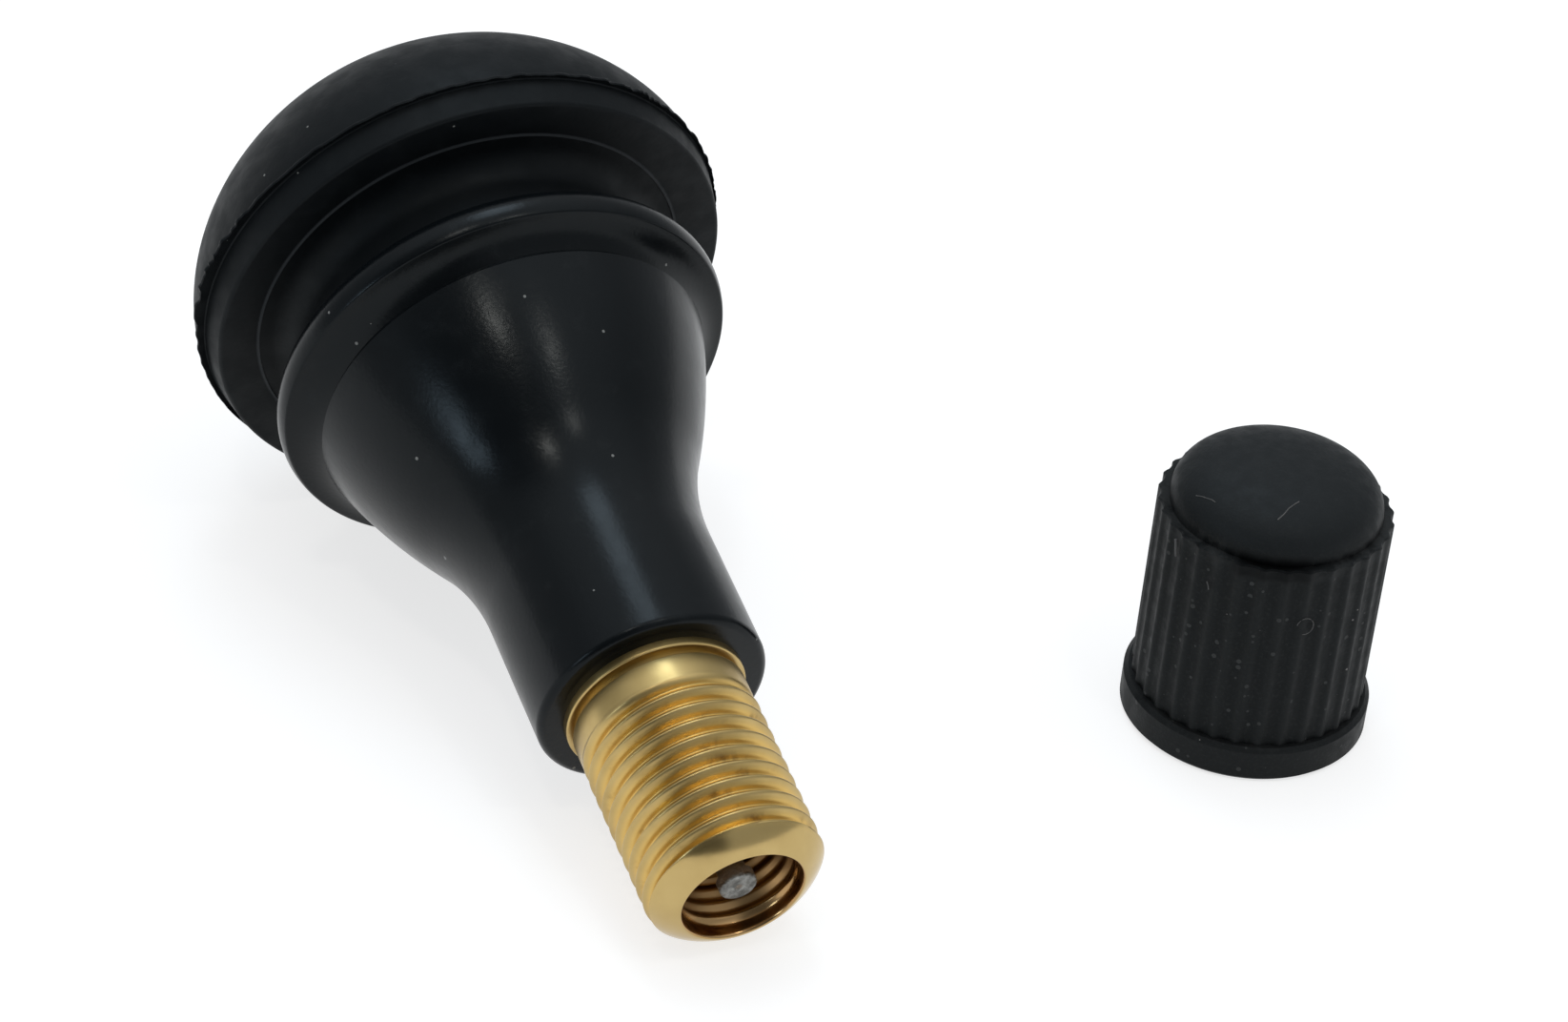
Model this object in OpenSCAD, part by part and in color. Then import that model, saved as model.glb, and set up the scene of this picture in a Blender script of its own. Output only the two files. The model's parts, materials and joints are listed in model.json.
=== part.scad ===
// Snap-in rubber tyre valve lying on its side, with its dust cap standing beside it.
// Lengths are in millimetres. Outlines are [radius, height] points about an axis.
// The origin is the middle of the rim groove, +X runs towards the mouth and +Z is up.

/* [Head] */
// Length from the head's flat base to the mouth
valve_len = 42.5; // [41:0.5:62]
// Radius of the head at its parting line
head_r = 12; // [11.6:0.1:13]
// Height of the parting line above the flat base
head_h = 7.05; // [6.5:0.05:7.6]
// Height that the domed base would have without its flat
dome_full_h = 9.6; // [9:0.1:11]
// Roundness of the domed base, where 2 is an ellipse
dome_power = 1.85; // [1.6:0.05:2.4]
// How far the moulding flash stands out
flash_w = 0.3; // [0.1:0.05:0.4]
// Thickness of the moulding flash
flash_t = 0.15; // [0.1:0.05:0.3]
// Radius of the sealing lip in front of the flash
lip_r = 11.75; // [11.3:0.05:11.9]
// Height of the lip's straight edge
lip_h = 0.75; // [0.5:0.05:1]
// Radius of the lip's rounded edge
lip_round = 0.95; // [0.7:0.05:1.2]
// How deep the sealing face is dished
dish = 0.15; // [0.1:0.05:0.3]
// Radius of the fine raised line on the sealing face
seal_line_r = 9.75; // [9.4:0.05:10.2]
// Height and half width of that line
seal_line_h = 0.08; // [0.04:0.02:0.16]

/* [Rim groove] */
// Radius of the neck that fills the rim hole
neck_r = 8; // [7.7:0.05:8.3]
// Width of the groove that holds the rim
groove_w = 2.6; // [2.2:0.1:3.4]
// Radius of the hollow where the sealing face meets the neck
seal_round = 1.2; // [0.8:0.05:1.4]
// Radius of the inside corner between the neck and the ridge
neck_round = 0.4; // [0.2:0.05:0.6]
// Radius of the snap ridge at its crest
ridge_r = 10.2; // [9.9:0.05:10.6]
// Radius of the ridge's rounded crest
ridge_round = 1.2; // [0.9:0.05:1.4]
// Rise of the ridge's flank from the neck to its crest
ridge_rise = 0.45; // [0.3:0.05:0.7]
// Turn of that crest past its widest line, in degrees
ridge_turn = 25; // [10:1:45]
// Depth of the small step between the ridge and the cone
step_d = 0.2; // [0.1:0.02:0.3]

/* [Cone and collar] */
// Radius of the cone next to the ridge
cone_r = 8.78; // [8.6:0.02:9]
// Lean of the cone where it starts, in degrees
cone_lean = 15.7; // [12:0.1:19]
// Radius of the cone's swelling outline
cone_swell = 30; // [24:1:40]
// Radius of the hollow between cone and collar
cone_fillet = 10.8; // [8:0.2:14]
// Radius of the collar round the stem
collar_r = 5.05; // [4.8:0.05:5.4]
// Radius of the collar's rounded end
collar_edge = 0.35; // [0.2:0.05:0.6]

/* [Brass stem] */
// Length of the stem outside the collar
stem_out = 10.45; // [10:0.05:13]
// Outside radius of the cap thread
thread_r = 3.85; // [3.8:0.01:3.9]
// Radius of the shank inside the rubber
shank_r = 3.4; // [3.2:0.05:3.5]
// Height of the stem's foot above the flat base
foot_z = 13; // [12:0.5:14]
// Radius of the anchor flange at the foot
anchor_r = 4.6; // [4.2:0.1:5.2]
// Thickness of the anchor flange
anchor_t = 1.2; // [0.8:0.1:1.8]
// Radius of the ring where the stem leaves the collar
ring_r = 4.05; // [4.02:0.01:4.2]
// Depth of that ring inside the collar
ring_in = 0.3; // [0.2:0.05:0.6]
// Length of that ring outside the collar
ring_out = 0.38; // [0.2:0.02:0.6]
// Width of the groove above the ring
root_w = 0.3; // [0.2:0.05:0.5]
// Radius at the bottom of that groove
root_r = 3.55; // [3.45:0.05:3.7]
// Width of the smooth band between that groove and the thread
stem_band_w = 1; // [0.6:0.1:1.4]
// Pitch of the cap thread
cap_pitch = 0.794; // [0.75:0.001:0.85]
// Depth of the cap thread
cap_thread_d = 0.42; // [0.3:0.02:0.46]
// Length of the bevelled nose at the mouth
nose_h = 0.95; // [0.7:0.05:1.1]
// Straightness of that bevel, where 1 is an ellipse and 2 a cone
nose_power = 1.6; // [1:0.1:1.9]
// Radius of the mouth
mouth_r = 2.68; // [2.65:0.01:2.8]
// Radius of the threaded bore that takes the core
core_bore_r = 2.6; // [2.55:0.01:2.64]
// Radius of the smooth chamber under the thread
chamber_r = 2.25; // [2.2:0.01:2.35]
// Length of that chamber
chamber_h = 0.55; // [0.4:0.05:0.8]
// Radius of the air way through the foot
air_r = 1.75; // [1.7:0.01:1.8]
// Length of the conical seat for the core
seat_h = 2; // [1.6:0.05:2.1]

/* [Core] */
// Play between pieces that turn or slide on each other
play = 0.1; // [0.06:0.01:0.12]
// Gap between a seal and its seat
seal_gap = 0.06; // [0.03:0.01:0.08]
// Depth of the plug's bridge below the mouth
plug_depth = 2.6; // [2.4:0.05:3]
// Height of the bridge
bridge_h = 2; // [1.6:0.1:2.4]
// Width of the bridge across its flats
bridge_w = 2.4; // [2:0.1:2.8]
// Height of the plug's threaded ring
plug_h = 3.6; // [3.4:0.1:4.2]
// Thickness of the ring's roof under the bridge
roof_t = 0.3; // [0.2:0.05:0.5]
// Height of the rolled lip that holds the barrel
roll_h = 0.8; // [0.6:0.05:1]
// Radius of the hollow in the plug
plug_hollow_r = 1.75; // [1.7:0.01:1.8]
// Radius of the barrel's neck inside the rolled lip
barrel_neck_r = 1.4; // [1.3:0.02:1.5]
// Height of the barrel's flange inside the plug
barrel_flange_h = 0.7; // [0.5:0.05:0.8]
// Height of the barrel's shoulder under the plug
shoulder_h = 1.2; // [1:0.05:1.5]
// Radius of the barrel under its washer
washer_seat_r = 1.45; // [1.35:0.01:1.5]
// Height of the washer
washer_h = 1.9; // [1.6:0.05:2.1]
// Height of the rim that holds the washer
rim_h = 0.4; // [0.3:0.05:0.6]
// Radius of the barrel's lower tube
tube_r = 1.4; // [1.3:0.01:1.45]
// Length of the barrel's lower tube
tube_h = 2.7; // [2.4:0.1:3.4]
// Radius of the barrel's bore round the spring
spring_bore_r = 1.05; // [1:0.01:1.1]
// Radius of the barrel's bore round the pin
pin_bore_r = 0.8; // [0.75:0.01:0.84]

/* [Pin and spring] */
// Depth of the pin's head below the mouth
pin_depth = 0.5; // [0.3:0.05:0.8]
// Radius of the pin's head
pin_head_r = 0.8; // [0.7:0.02:0.9]
// Height of the pin's head
pin_head_h = 0.6; // [0.4:0.05:0.8]
// Radius of the pin
pin_r = 0.6; // [0.55:0.01:0.62]
// Depth of the dimple in the pin's head
dimple_d = 0.1; // [0.05:0.01:0.15]
// Thickness of the collar that presses the spring
pin_collar_t = 0.35; // [0.25:0.05:0.45]
// Thickness of the spring's wire
wire_d = 0.2; // [0.16:0.01:0.22]
// Number of turns of the spring
spring_turns = 7; // [5:1:9]
// Wall of the cup under the barrel
cup_wall = 0.2; // [0.15:0.01:0.25]
// Height of the cup
cup_h = 1.15; // [1:0.05:1.4]
// Thickness of the rubber washer in the cup
cup_washer_h = 0.75; // [0.6:0.05:0.8]
// Height of the rivet at the end of the pin
rivet_h = 0.3; // [0.2:0.05:0.5]

/* [Cap] */
// Height of the cap
cap_h = 13.1; // [12.8:0.1:15]
// Height of the ledge where its dome begins
ledge_h = 10.9; // [10.6:0.1:11.4]
// Radius of the plain band at its open end
band_r = 5.42; // [5.3:0.02:5.7]
// Height of that band
band_h = 1.7; // [1.4:0.1:2.2]
// Chamfer of the band's edges
band_edge = 0.2; // [0.1:0.05:0.3]
// Radius of the cap between its ribs
cap_r = 4.85; // [4.75:0.01:4.95]
// Number of ribs
rib_count = 32; // [24:1:36]
// Radius of a rib
rib_r = 0.25; // [0.15:0.01:0.3]
// Radius of the dome at the ledge
dome_r = 4.6; // [4.4:0.05:4.8]
// Fullness of the dome, where 2 is an ellipse
cap_dome_power = 2.5; // [2:0.1:3]
// Play of the cap on the stem's thread
cap_play = 0.07; // [0.05:0.01:0.15]
// Depth of the cap's threaded bore
cap_bore_h = 10; // [9:0.1:10.4]
// Radius of the hollow under the dome
cap_hollow_r = 3.3; // [2.8:0.05:3.6]
// Thickness of the top of the dome
cap_top_t = 1.4; // [1.2:0.05:1.8]
// Distance of the standing cap behind the mouth
cap_back = 9.4; // [0:0.1:20]
// Distance of the standing cap from the valve's axis
cap_side = 28.1; // [20:0.1:40]

/* [Hidden] */
$fn = 96;
// Points on each round stretch of an outline
arc_steps = 4;
// Points on the domed base
dome_steps = 10;
// Share of a thread's pitch that is flat at its crest and at its root
crest_share = 0.125;
// How far a cut runs past the face that it opens
past = 1;
rubber_colour = [0.07, 0.08, 0.09];
brass_colour = [0.78, 0.58, 0.22];
steel_colour = [0.78, 0.78, 0.76];
seal_colour = [0.14, 0.13, 0.13];
cap_colour = [0.09, 0.09, 0.10];

// Heights along the rubber body
lip_z = head_h + lip_h;
seal_z = lip_z + lip_round - dish;
neck_end_z = seal_z + groove_w;
rim_z = seal_z + groove_w / 2;
ridge_z = neck_end_z + ridge_rise + ridge_round;
cone_z = ridge_z + ridge_round + step_d * 2;
collar_z = valve_len - stem_out;

// Lean of the cone where its swelling outline meets the hollow, and the centres of both
cone_turn = acos((cone_swell * cos(cone_lean) + cone_fillet - cone_r + collar_r)
    / (cone_swell + cone_fillet));
swell_centre = [cone_r - cone_swell * cos(cone_lean), cone_z - cone_swell * sin(cone_lean)];
fillet_centre = swell_centre + (cone_swell + cone_fillet) * [cos(cone_turn), sin(cone_turn)];

// Heights along the brass stem
ring_z = collar_z + ring_out;
thread_z = ring_z + root_w;
nose_z = valve_len - nose_h;

// Turns of the cap thread, drawn as rings that end at the nose
cap_turns = floor((nose_z - thread_z - stem_band_w) / cap_pitch);

// Depths of the core below the mouth
ring_d = plug_depth + bridge_h;
hollow_d = ring_d + roof_t;
plug_end_d = ring_d + plug_h;
roll_d = plug_end_d - roll_h;
flange_d = roll_d - play - barrel_flange_h;
shoulder_d = plug_end_d + play;
washer_d = shoulder_d + shoulder_h;
rim_d = washer_d + washer_h;
tube_d = rim_d + rim_h;
barrel_end_d = tube_d + tube_h;
spring_end_d = rim_d - rim_h;
collar_d = hollow_d + 4 * play;
spring_d = collar_d + pin_collar_t;
cup_washer_d = barrel_end_d + seal_gap;
cup_d = cup_washer_d + cup_wall;
cup_end_d = cup_d + cup_h;
pin_end_d = cup_end_d + rivet_h;

// Depths of the seat in the stem, set by the core that it holds
chamber_d = washer_d + seal_gap - chamber_h;
seat_d = chamber_d + chamber_h;
seat_end_d = seat_d + seat_h;
core_thread_end_d = chamber_d - (core_bore_r - chamber_r);

// Radii of the core, set by the bores that it fits
plug_r = core_bore_r - play;
bridge_r = plug_r - 3 * play;
roll_r = barrel_neck_r + play;
barrel_flange_r = plug_hollow_r - play;
shoulder_r = chamber_r - 1.5 * play;
barrel_rim_r = air_r - 1.5 * play;
bridge_hole_r = pin_r + 1.5 * play;
pin_collar_r = spring_bore_r - play;
spring_r = spring_bore_r - play - wire_d / 2;
cup_r = air_r - 2.5 * play;
cup_hollow_r = cup_r - cup_wall;
rivet_r = pin_r + cup_wall;
washer_top_r = chamber_r - seal_gap;
washer_end_r = chamber_r - seal_gap - (chamber_r - air_r) * (rim_d - seat_d) / seat_h;

// The valve lies on its flash or its lip and on the last turn of its thread
flash_slope = (head_r + flash_w - thread_r) / (nose_z - head_h - flash_t);
lip_slope = (lip_r - thread_r) / (nose_z - lip_z);
lie_angle = atan(max(flash_slope, lip_slope));
floor_z = -(nose_z - rim_z) * sin(lie_angle) - thread_r * cos(lie_angle);
mouth_x = (valve_len - rim_z) * cos(lie_angle);

// Points on a round stretch about a centre, from one angle to another
function arc(centre, radius, from, to) =
    [for (k = [0:arc_steps]) centre + radius * [cos(from + (to - from) * k / arc_steps),
        sin(from + (to - from) * k / arc_steps)]];

// Point on the domed base, where share 0 is the parting line
function dome_point(share) =
    [head_r * pow(1 - pow(share, dome_power), 1 / dome_power), head_h - share * dome_full_h];

// Points without the last one, where the next stretch starts on it
function but_last(points) = [for (k = [0:len(points) - 2]) points[k]];

// Point on the stem's bevelled nose, where turn 0 is at the thread and 90 at the mouth
function nose_point(turn) =
    [mouth_r + (thread_r - mouth_r) * pow(cos(turn), nose_power),
        nose_z + nose_h * pow(sin(turn), nose_power)];

// Point on the cap's dome, where turn 0 is at the ledge and 90 on the axis
function cap_dome_point(turn) =
    [dome_r * pow(cos(turn), 2 / cap_dome_power),
        ledge_h + (cap_h - ledge_h) * pow(sin(turn), 2 / cap_dome_power)];

function rubber_outline() = concat(
    [[0, 0]],
    [for (k = [0:dome_steps]) dome_point(head_h / dome_full_h * (1 - k / dome_steps))],
    [[head_r + flash_w, head_h], [head_r + flash_w, head_h + flash_t], [lip_r, head_h + flash_t]],
    arc([lip_r - lip_round, lip_z], lip_round, 0, 90),
    [[seal_line_r + seal_line_h, seal_z], [seal_line_r, seal_z + seal_line_h]],
    [[seal_line_r - seal_line_h, seal_z]],
    arc([neck_r + seal_round, seal_z + seal_round], seal_round, 270, 180),
    arc([neck_r + neck_round, neck_end_z - neck_round], neck_round, 180, 90),
    arc([ridge_r - ridge_round, ridge_z], ridge_round, -90, ridge_turn),
    [[cone_r - step_d, cone_z - step_d], [cone_r - step_d, cone_z]],
    but_last(arc(swell_centre, cone_swell, cone_lean, cone_turn)),
    arc(fillet_centre, cone_fillet, 180 + cone_turn, 180),
    arc([collar_r - collar_edge, collar_z - collar_edge], collar_edge, 0, 90),
    [[0, collar_z]]);

// Groove between two rings of the cap thread, counted from the nose
function thread_groove(turn) =
    let (middle = nose_z - (turn + 0.5) * cap_pitch,
        open = (1 - crest_share) / 2 * cap_pitch,
        flat = crest_share / 2 * cap_pitch)
    [[thread_r, middle - open], [thread_r - cap_thread_d, middle - flat],
        [thread_r - cap_thread_d, middle + flat], [thread_r, middle + open]];

function stem_outline() = concat(
    [[0, foot_z], [anchor_r, foot_z], [anchor_r, foot_z + anchor_t], [shank_r, foot_z + anchor_t]],
    [[shank_r, collar_z - ring_in], [ring_r, collar_z - ring_in], [ring_r, ring_z], [root_r, ring_z]],
    [[root_r, thread_z], [thread_r, thread_z]],
    [for (k = [cap_turns - 1:-1:0]) each thread_groove(k)],
    [for (k = [0:arc_steps]) nose_point(90 * k / arc_steps)],
    [[0, valve_len]]);

// Bore of the stem, drawn by depth below the mouth
function bore_outline() = [
    [0, -past], [mouth_r, -past], [mouth_r, 0], [core_bore_r, mouth_r - core_bore_r],
    [core_bore_r, core_thread_end_d], [chamber_r, chamber_d], [chamber_r, seat_d], [air_r, seat_end_d],
    [air_r, valve_len + past], [0, valve_len + past]];

function barrel_outline() = [
    [spring_bore_r, flange_d], [barrel_flange_r, flange_d], [barrel_flange_r, roll_d - play],
    [barrel_neck_r, roll_d - play], [barrel_neck_r, shoulder_d], [shoulder_r, shoulder_d],
    [shoulder_r, washer_d], [washer_seat_r, washer_d], [washer_seat_r, rim_d], [barrel_rim_r, rim_d],
    [barrel_rim_r, tube_d], [tube_r, tube_d], [tube_r, barrel_end_d], [pin_bore_r, barrel_end_d],
    [pin_bore_r, spring_end_d], [spring_bore_r, spring_end_d]];

function pin_outline() = [
    [0, pin_depth + dimple_d], [dimple_d * 2, pin_depth], [pin_head_r - dimple_d, pin_depth],
    [pin_head_r, pin_depth + dimple_d], [pin_head_r, pin_depth + pin_head_h], [pin_r, pin_depth + pin_head_h],
    [pin_r, collar_d], [pin_collar_r, collar_d], [pin_collar_r, spring_d], [pin_r, spring_d],
    [pin_r, cup_end_d], [rivet_r, cup_end_d], [rivet_r, pin_end_d], [0, pin_end_d]];

function cap_outline() = concat(
    [[0, 0], [band_r - band_edge, 0], [band_r, band_edge], [band_r, band_h - band_edge]],
    [[band_r - band_edge, band_h], [cap_r, band_h], [cap_r, ledge_h]],
    [for (k = [0:dome_steps]) cap_dome_point(90 * k / dome_steps)]);

function cap_bore_outline() =
    let (bore_r = thread_r + cap_play)
    [[0, -past], [bore_r + band_edge + past, -past], [bore_r, band_edge], [bore_r, cap_bore_h],
        [cap_hollow_r, cap_bore_h], [cap_hollow_r, cap_h - cap_top_t], [0, cap_h - cap_top_t]];

// Lays the valve on its side with the middle of its rim groove at the origin
module lying() {
    rotate([0, 90 + lie_angle, 0])
        translate([0, 0, -rim_z])
            children();
}

// Turns depths below the mouth into heights of the lying valve
module in_mouth() {
    lying()
        translate([0, 0, valve_len])
            mirror([0, 0, 1])
                children();
}

module turned(outline) {
    rotate_extrude()
        polygon(outline);
}

// Ring between two radii and two heights
module ring(inner_r, outer_r, from, to) {
    turned([[inner_r, from], [outer_r, from], [outer_r, to], [inner_r, to]]);
}

module rubber_body() {
    color(rubber_colour)
        lying()
            difference() {
                turned(rubber_outline());
                turned(stem_outline());
                translate([0, 0, -past])
                    cylinder(r = air_r, h = foot_z + 2 * past);
            }
}

module brass_stem() {
    color(brass_colour)
        difference() {
            lying()
                turned(stem_outline());
            in_mouth()
                turned(bore_outline());
        }
}

// Threaded plug with a bridge across its top for the key that screws it in
module core_plug() {
    color(brass_colour)
        in_mouth()
            difference() {
                union() {
                    intersection() {
                        translate([0, 0, plug_depth])
                            cylinder(r = bridge_r, h = bridge_h + roof_t);
                        translate([-plug_r, -bridge_w / 2, plug_depth])
                            cube([2 * plug_r, bridge_w, bridge_h + roof_t]);
                    }
                    translate([0, 0, ring_d])
                        cylinder(r = plug_r, h = plug_h);
                }
                translate([0, 0, plug_depth - past])
                    cylinder(r = bridge_hole_r, h = bridge_h + roof_t + 2 * past);
                translate([0, 0, hollow_d])
                    cylinder(r = plug_hollow_r, h = roll_d - hollow_d);
                translate([0, 0, roll_d - past])
                    cylinder(r = roll_r, h = roll_h + 2 * past);
            }
}

module core_barrel() {
    color(brass_colour)
        in_mouth()
            turned(barrel_outline());
}

module barrel_washer() {
    color(seal_colour)
        in_mouth()
            turned([[washer_seat_r, washer_d], [washer_top_r, washer_d], [washer_top_r, seat_d],
                [washer_end_r, rim_d], [washer_seat_r, rim_d]]);
}

module core_pin() {
    color(steel_colour)
        in_mouth()
            turned(pin_outline());
}

// Round wire swept along a helix between the pin's collar and the barrel
module core_spring() {
    sides = 8;
    turn_steps = 16;
    rings = spring_turns * turn_steps;
    wire_r = wire_d / 2;
    from = spring_d + wire_r;
    rise = spring_end_d - wire_r - from;
    points = [for (k = [0:rings], s = [0:sides - 1])
        let (turn = 360 * k / turn_steps, r = spring_r + wire_r * cos(360 * s / sides))
        [r * cos(turn), r * sin(turn), from + rise * k / rings + wire_r * sin(360 * s / sides)]];
    walls = [for (k = [0:rings - 1], s = [0:sides - 1])
        let (next = (s + 1) % sides)
        [k * sides + s, k * sides + next, (k + 1) * sides + next, (k + 1) * sides + s]];
    near_end = [for (s = [sides - 1:-1:0]) s];
    far_end = [for (s = [0:sides - 1]) rings * sides + s];
    color(steel_colour)
        in_mouth()
            polyhedron(points, concat(walls, [near_end, far_end]));
}

module pin_cup() {
    color(brass_colour)
        in_mouth()
            difference() {
                ring(pin_r, cup_r, cup_d, cup_end_d);
                ring(pin_r, cup_hollow_r, cup_d - past, cup_washer_d + cup_washer_h);
            }
}

module cup_washer() {
    color(seal_colour)
        in_mouth()
            ring(pin_r, cup_hollow_r, cup_washer_d, cup_washer_d + cup_washer_h);
}

module valve_cap() {
    color(cap_colour)
        translate([mouth_x - cap_back, cap_side, floor_z])
            difference() {
                union() {
                    turned(cap_outline());
                    for (k = [0:rib_count - 1])
                        rotate([0, 0, 360 * k / rib_count])
                            translate([cap_r, 0, band_h - band_edge])
                                cylinder(r = rib_r, h = ledge_h - band_h + band_edge);
                }
                turned(cap_bore_outline());
            }
}

rubber_body();
brass_stem();
core_plug();
core_barrel();
barrel_washer();
core_pin();
core_spring();
pin_cup();
cup_washer();
valve_cap();
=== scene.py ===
"""Looks of a snap-in tyre valve that lies on its side, with its dust cap standing beside it.

Outlines are (radius, height) points in millimetres about an axis, like those of the solids that
they follow. The valve's heights start at the flat base of its head, the cap's at the surface that
it stands on. Angles are in degrees and spans of angle in radians. An angle round the valve's axis
starts at its underside, and one round the cap's axis at +X.
"""
import json
import math
import random

import bpy
import numpy as np
from mathutils import Matrix, Vector


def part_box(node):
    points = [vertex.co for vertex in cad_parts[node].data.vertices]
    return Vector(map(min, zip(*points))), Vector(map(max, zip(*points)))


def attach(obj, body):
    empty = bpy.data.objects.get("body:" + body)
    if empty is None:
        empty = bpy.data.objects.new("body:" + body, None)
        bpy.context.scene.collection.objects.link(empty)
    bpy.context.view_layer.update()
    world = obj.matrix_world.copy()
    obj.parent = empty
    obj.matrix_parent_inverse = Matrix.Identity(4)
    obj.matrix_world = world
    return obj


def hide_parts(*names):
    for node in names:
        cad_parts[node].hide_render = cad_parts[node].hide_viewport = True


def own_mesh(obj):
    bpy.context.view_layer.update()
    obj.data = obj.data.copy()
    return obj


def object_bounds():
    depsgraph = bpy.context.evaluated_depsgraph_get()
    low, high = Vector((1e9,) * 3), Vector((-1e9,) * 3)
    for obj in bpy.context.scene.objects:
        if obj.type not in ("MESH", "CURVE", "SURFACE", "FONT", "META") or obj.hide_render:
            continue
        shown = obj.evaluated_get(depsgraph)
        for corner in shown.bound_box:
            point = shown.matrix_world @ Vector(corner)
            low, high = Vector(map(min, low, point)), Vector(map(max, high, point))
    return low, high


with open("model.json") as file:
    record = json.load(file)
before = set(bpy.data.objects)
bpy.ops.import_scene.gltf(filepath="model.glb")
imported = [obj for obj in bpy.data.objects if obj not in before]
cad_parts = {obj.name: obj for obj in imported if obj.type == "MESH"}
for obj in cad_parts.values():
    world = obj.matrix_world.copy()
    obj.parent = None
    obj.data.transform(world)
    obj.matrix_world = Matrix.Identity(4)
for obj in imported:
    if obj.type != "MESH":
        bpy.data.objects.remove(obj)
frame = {"record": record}
cad_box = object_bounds()

MM = 0.001

# Places and sizes that the frame gives
mounts = {mount["name"]: mount for mount in frame["record"]["mounts"]}
stem_mount = mounts["stem_thread"]
cap_mount = mounts["cap_thread"]
AXIS = Vector(stem_mount["axis"])
SIDE = Vector((0, 1, 0))
THREAD_R = stem_mount["dims"]["r_mm"]
NECK_R = mounts["rim_seat"]["dims"]["r_mm"]
GROOVE_W = mounts["rim_seat"]["dims"]["length_mm"]
CAP_BORE_R = cap_mount["dims"]["r_mm"]
FLOOR_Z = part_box("valve_cap")[0].z

VALVE_LEN = 42.5

# Lip of the solid, which sets where the rim sits
LIP_H = 0.75
LIP_ROUND = 0.95
DISH = 0.15

# Head of the rubber body
HEAD_R = 12
HEAD_H = 7.05
DOME_FULL_H = 9.6
DOME_POWER = 1.85
BASE_ROUND = 0.35
FLASH_W = 0.3
FLASH_T = 0.15
FLASH_WAVE = 0.08
FLASH_BACK_EDGE = 0.02
FLASH_FRONT_EDGE = 0.03
FIN_LEAST = 0.05
FIN_OVER = 0.4
FIN_UNDER = 0.9
FIN_LEFT = 1.1
FIN_LEFT_AT = 262
FIN_LEFT_SPAN = 0.36
FIN_RIGHT = 0.45
FIN_RIGHT_AT = 140
FIN_RIGHT_SPAN = 0.45
TORN_LEAST = 0.45
TORN_COARSE = 0.35
TORN_FINE = 0.2
LIP_FOOT = 0.05
LIP_R = 11.72
LIP_OFF = 0.14
LIP_OFF_AT = 60
LIP_EDGE = 0.2
LIP_LEAN = 9
LIP_TOP = 8.44
FACE_Z = 8.37
SEAL_LINE_R = 9.68
SEAL_LINE_H = 0.06
SEAL_LINE_SLOPE = 1.6
SEAL_LINE_STEEP = 0.3
SEAL_LINE_BELOW = 0.1
SEAL_LINE_ABOVE = 0.4
SATIN_FROM_Z = 10.6
SATIN_FULL_Z = 11.4

# Rim groove, ridge, cone and collar
SEAL_ROUND = 1.2
NECK_ROUND = 0.4
RIDGE_R = 10.2
RIDGE_ROUND = 1.2
RIDGE_RISE = 0.45
RIDGE_TURN = 25
RIDGE_EDGE = 0.15
FLANK_TURN = 80
FLANK_DIP = 0.16
STEP_D = 0.2
STEP_EDGE = 0.1
CONE_R = 8.78
CONE_LEAN = 15.7
CONE_START = 0.15
CONE_SWELL = 30
CONE_FILLET = 10.8
COLLAR_R = 5.05
COLLAR_EDGE = 0.35

# Brass stem
STEM_OUT = 10.45
SHANK_R = 3.4
FOOT_Z = 13
ANCHOR_R = 4.6
ANCHOR_T = 1.2
RING_R = 3.95
RING_IN = 0.3
RING_OUT = 0.38
RING_EDGE = 0.08
ROOT_W = 0.3
ROOT_R = 3.55
ROOT_EDGE = 0.05
BAND_W = 1.0
BAND_R = 3.8
BAND_EDGE = 0.06
BAND_OVERLAP = 0.1
CAP_PITCH = 0.794
CAP_THREAD_D = 0.42
CAP_THREAD_PHASE = 0.37
CREST_POWER = 1.1
THREAD_STEP = 0.03
NOSE_H = 0.95
NOSE_POWER = 1.6
NOSE_FADE = 0.45
NOSE_BLEND = 0.3
MOUTH_R = 2.68
MOUTH_EDGE = 0.02
MOUTH_EDGE_D = 0.06
MOUTH_D = 0.2
BROWN_FROM_R = 2.72
BROWN_FULL_R = 2.62
CORE_BORE_R = 2.6
CORE_THREAD_START_D = 0.3
BORE_STEP = 0.07
CORE_PITCH = 0.7056
CORE_THREAD_D = 0.32
BORE_THREAD_D = 0.22
CHAMBER_R = 2.25
AIR_R = 1.75

# Core, by depth below the mouth
PLUG_R = 2.5
PLUG_D = 2.6
BRIDGE_R = 2.2
BRIDGE_W = 2.4
RING_D = 4.6
HOLLOW_D = 4.9
ROLL_D = 7.4
PLUG_END_D = 8.2
PLUG_EDGE = 0.12
PLUG_STEP = 0.05
PLUG_RUN_OUT = 0.35
BRIDGE_HOLE_R = 0.75
PLUG_HOLLOW_R = 1.75
ROLL_R = 1.5
BARREL_NECK_R = 1.4
FLANGE_D = 6.6
FLANGE_END_D = 7.3
BARREL_FLANGE_R = 1.65
SHOULDER_D = 8.3
SHOULDER_R = 2.1
WASHER_D = 9.5
SEAT_D = 9.56
WASHER_TOP_R = 2.19
WASHER_END_R = 1.73
WASHER_SEAT_R = 1.45
RIM_D = 11.4
BARREL_RIM_R = 1.6
TUBE_D = 11.8
TUBE_R = 1.4
BARREL_END_D = 14.5
SPRING_BORE_R = 1.05
SPRING_END_D = 11.0
PIN_BORE_R = 0.8
PIN_D = 0.5
PIN_HEAD_R = 0.8
PIN_HEAD_H = 0.6
PIN_R = 0.6
PIN_HEAD_EDGE = 0.12
DIMPLE_D = 0.1
DIMPLE_SLOPE = 0.7
END_FACE_FROM = 0.2
END_FACE_FULL = 0.08
PIN_COLLAR_D = 5.3
PIN_COLLAR_R = 0.95
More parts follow.
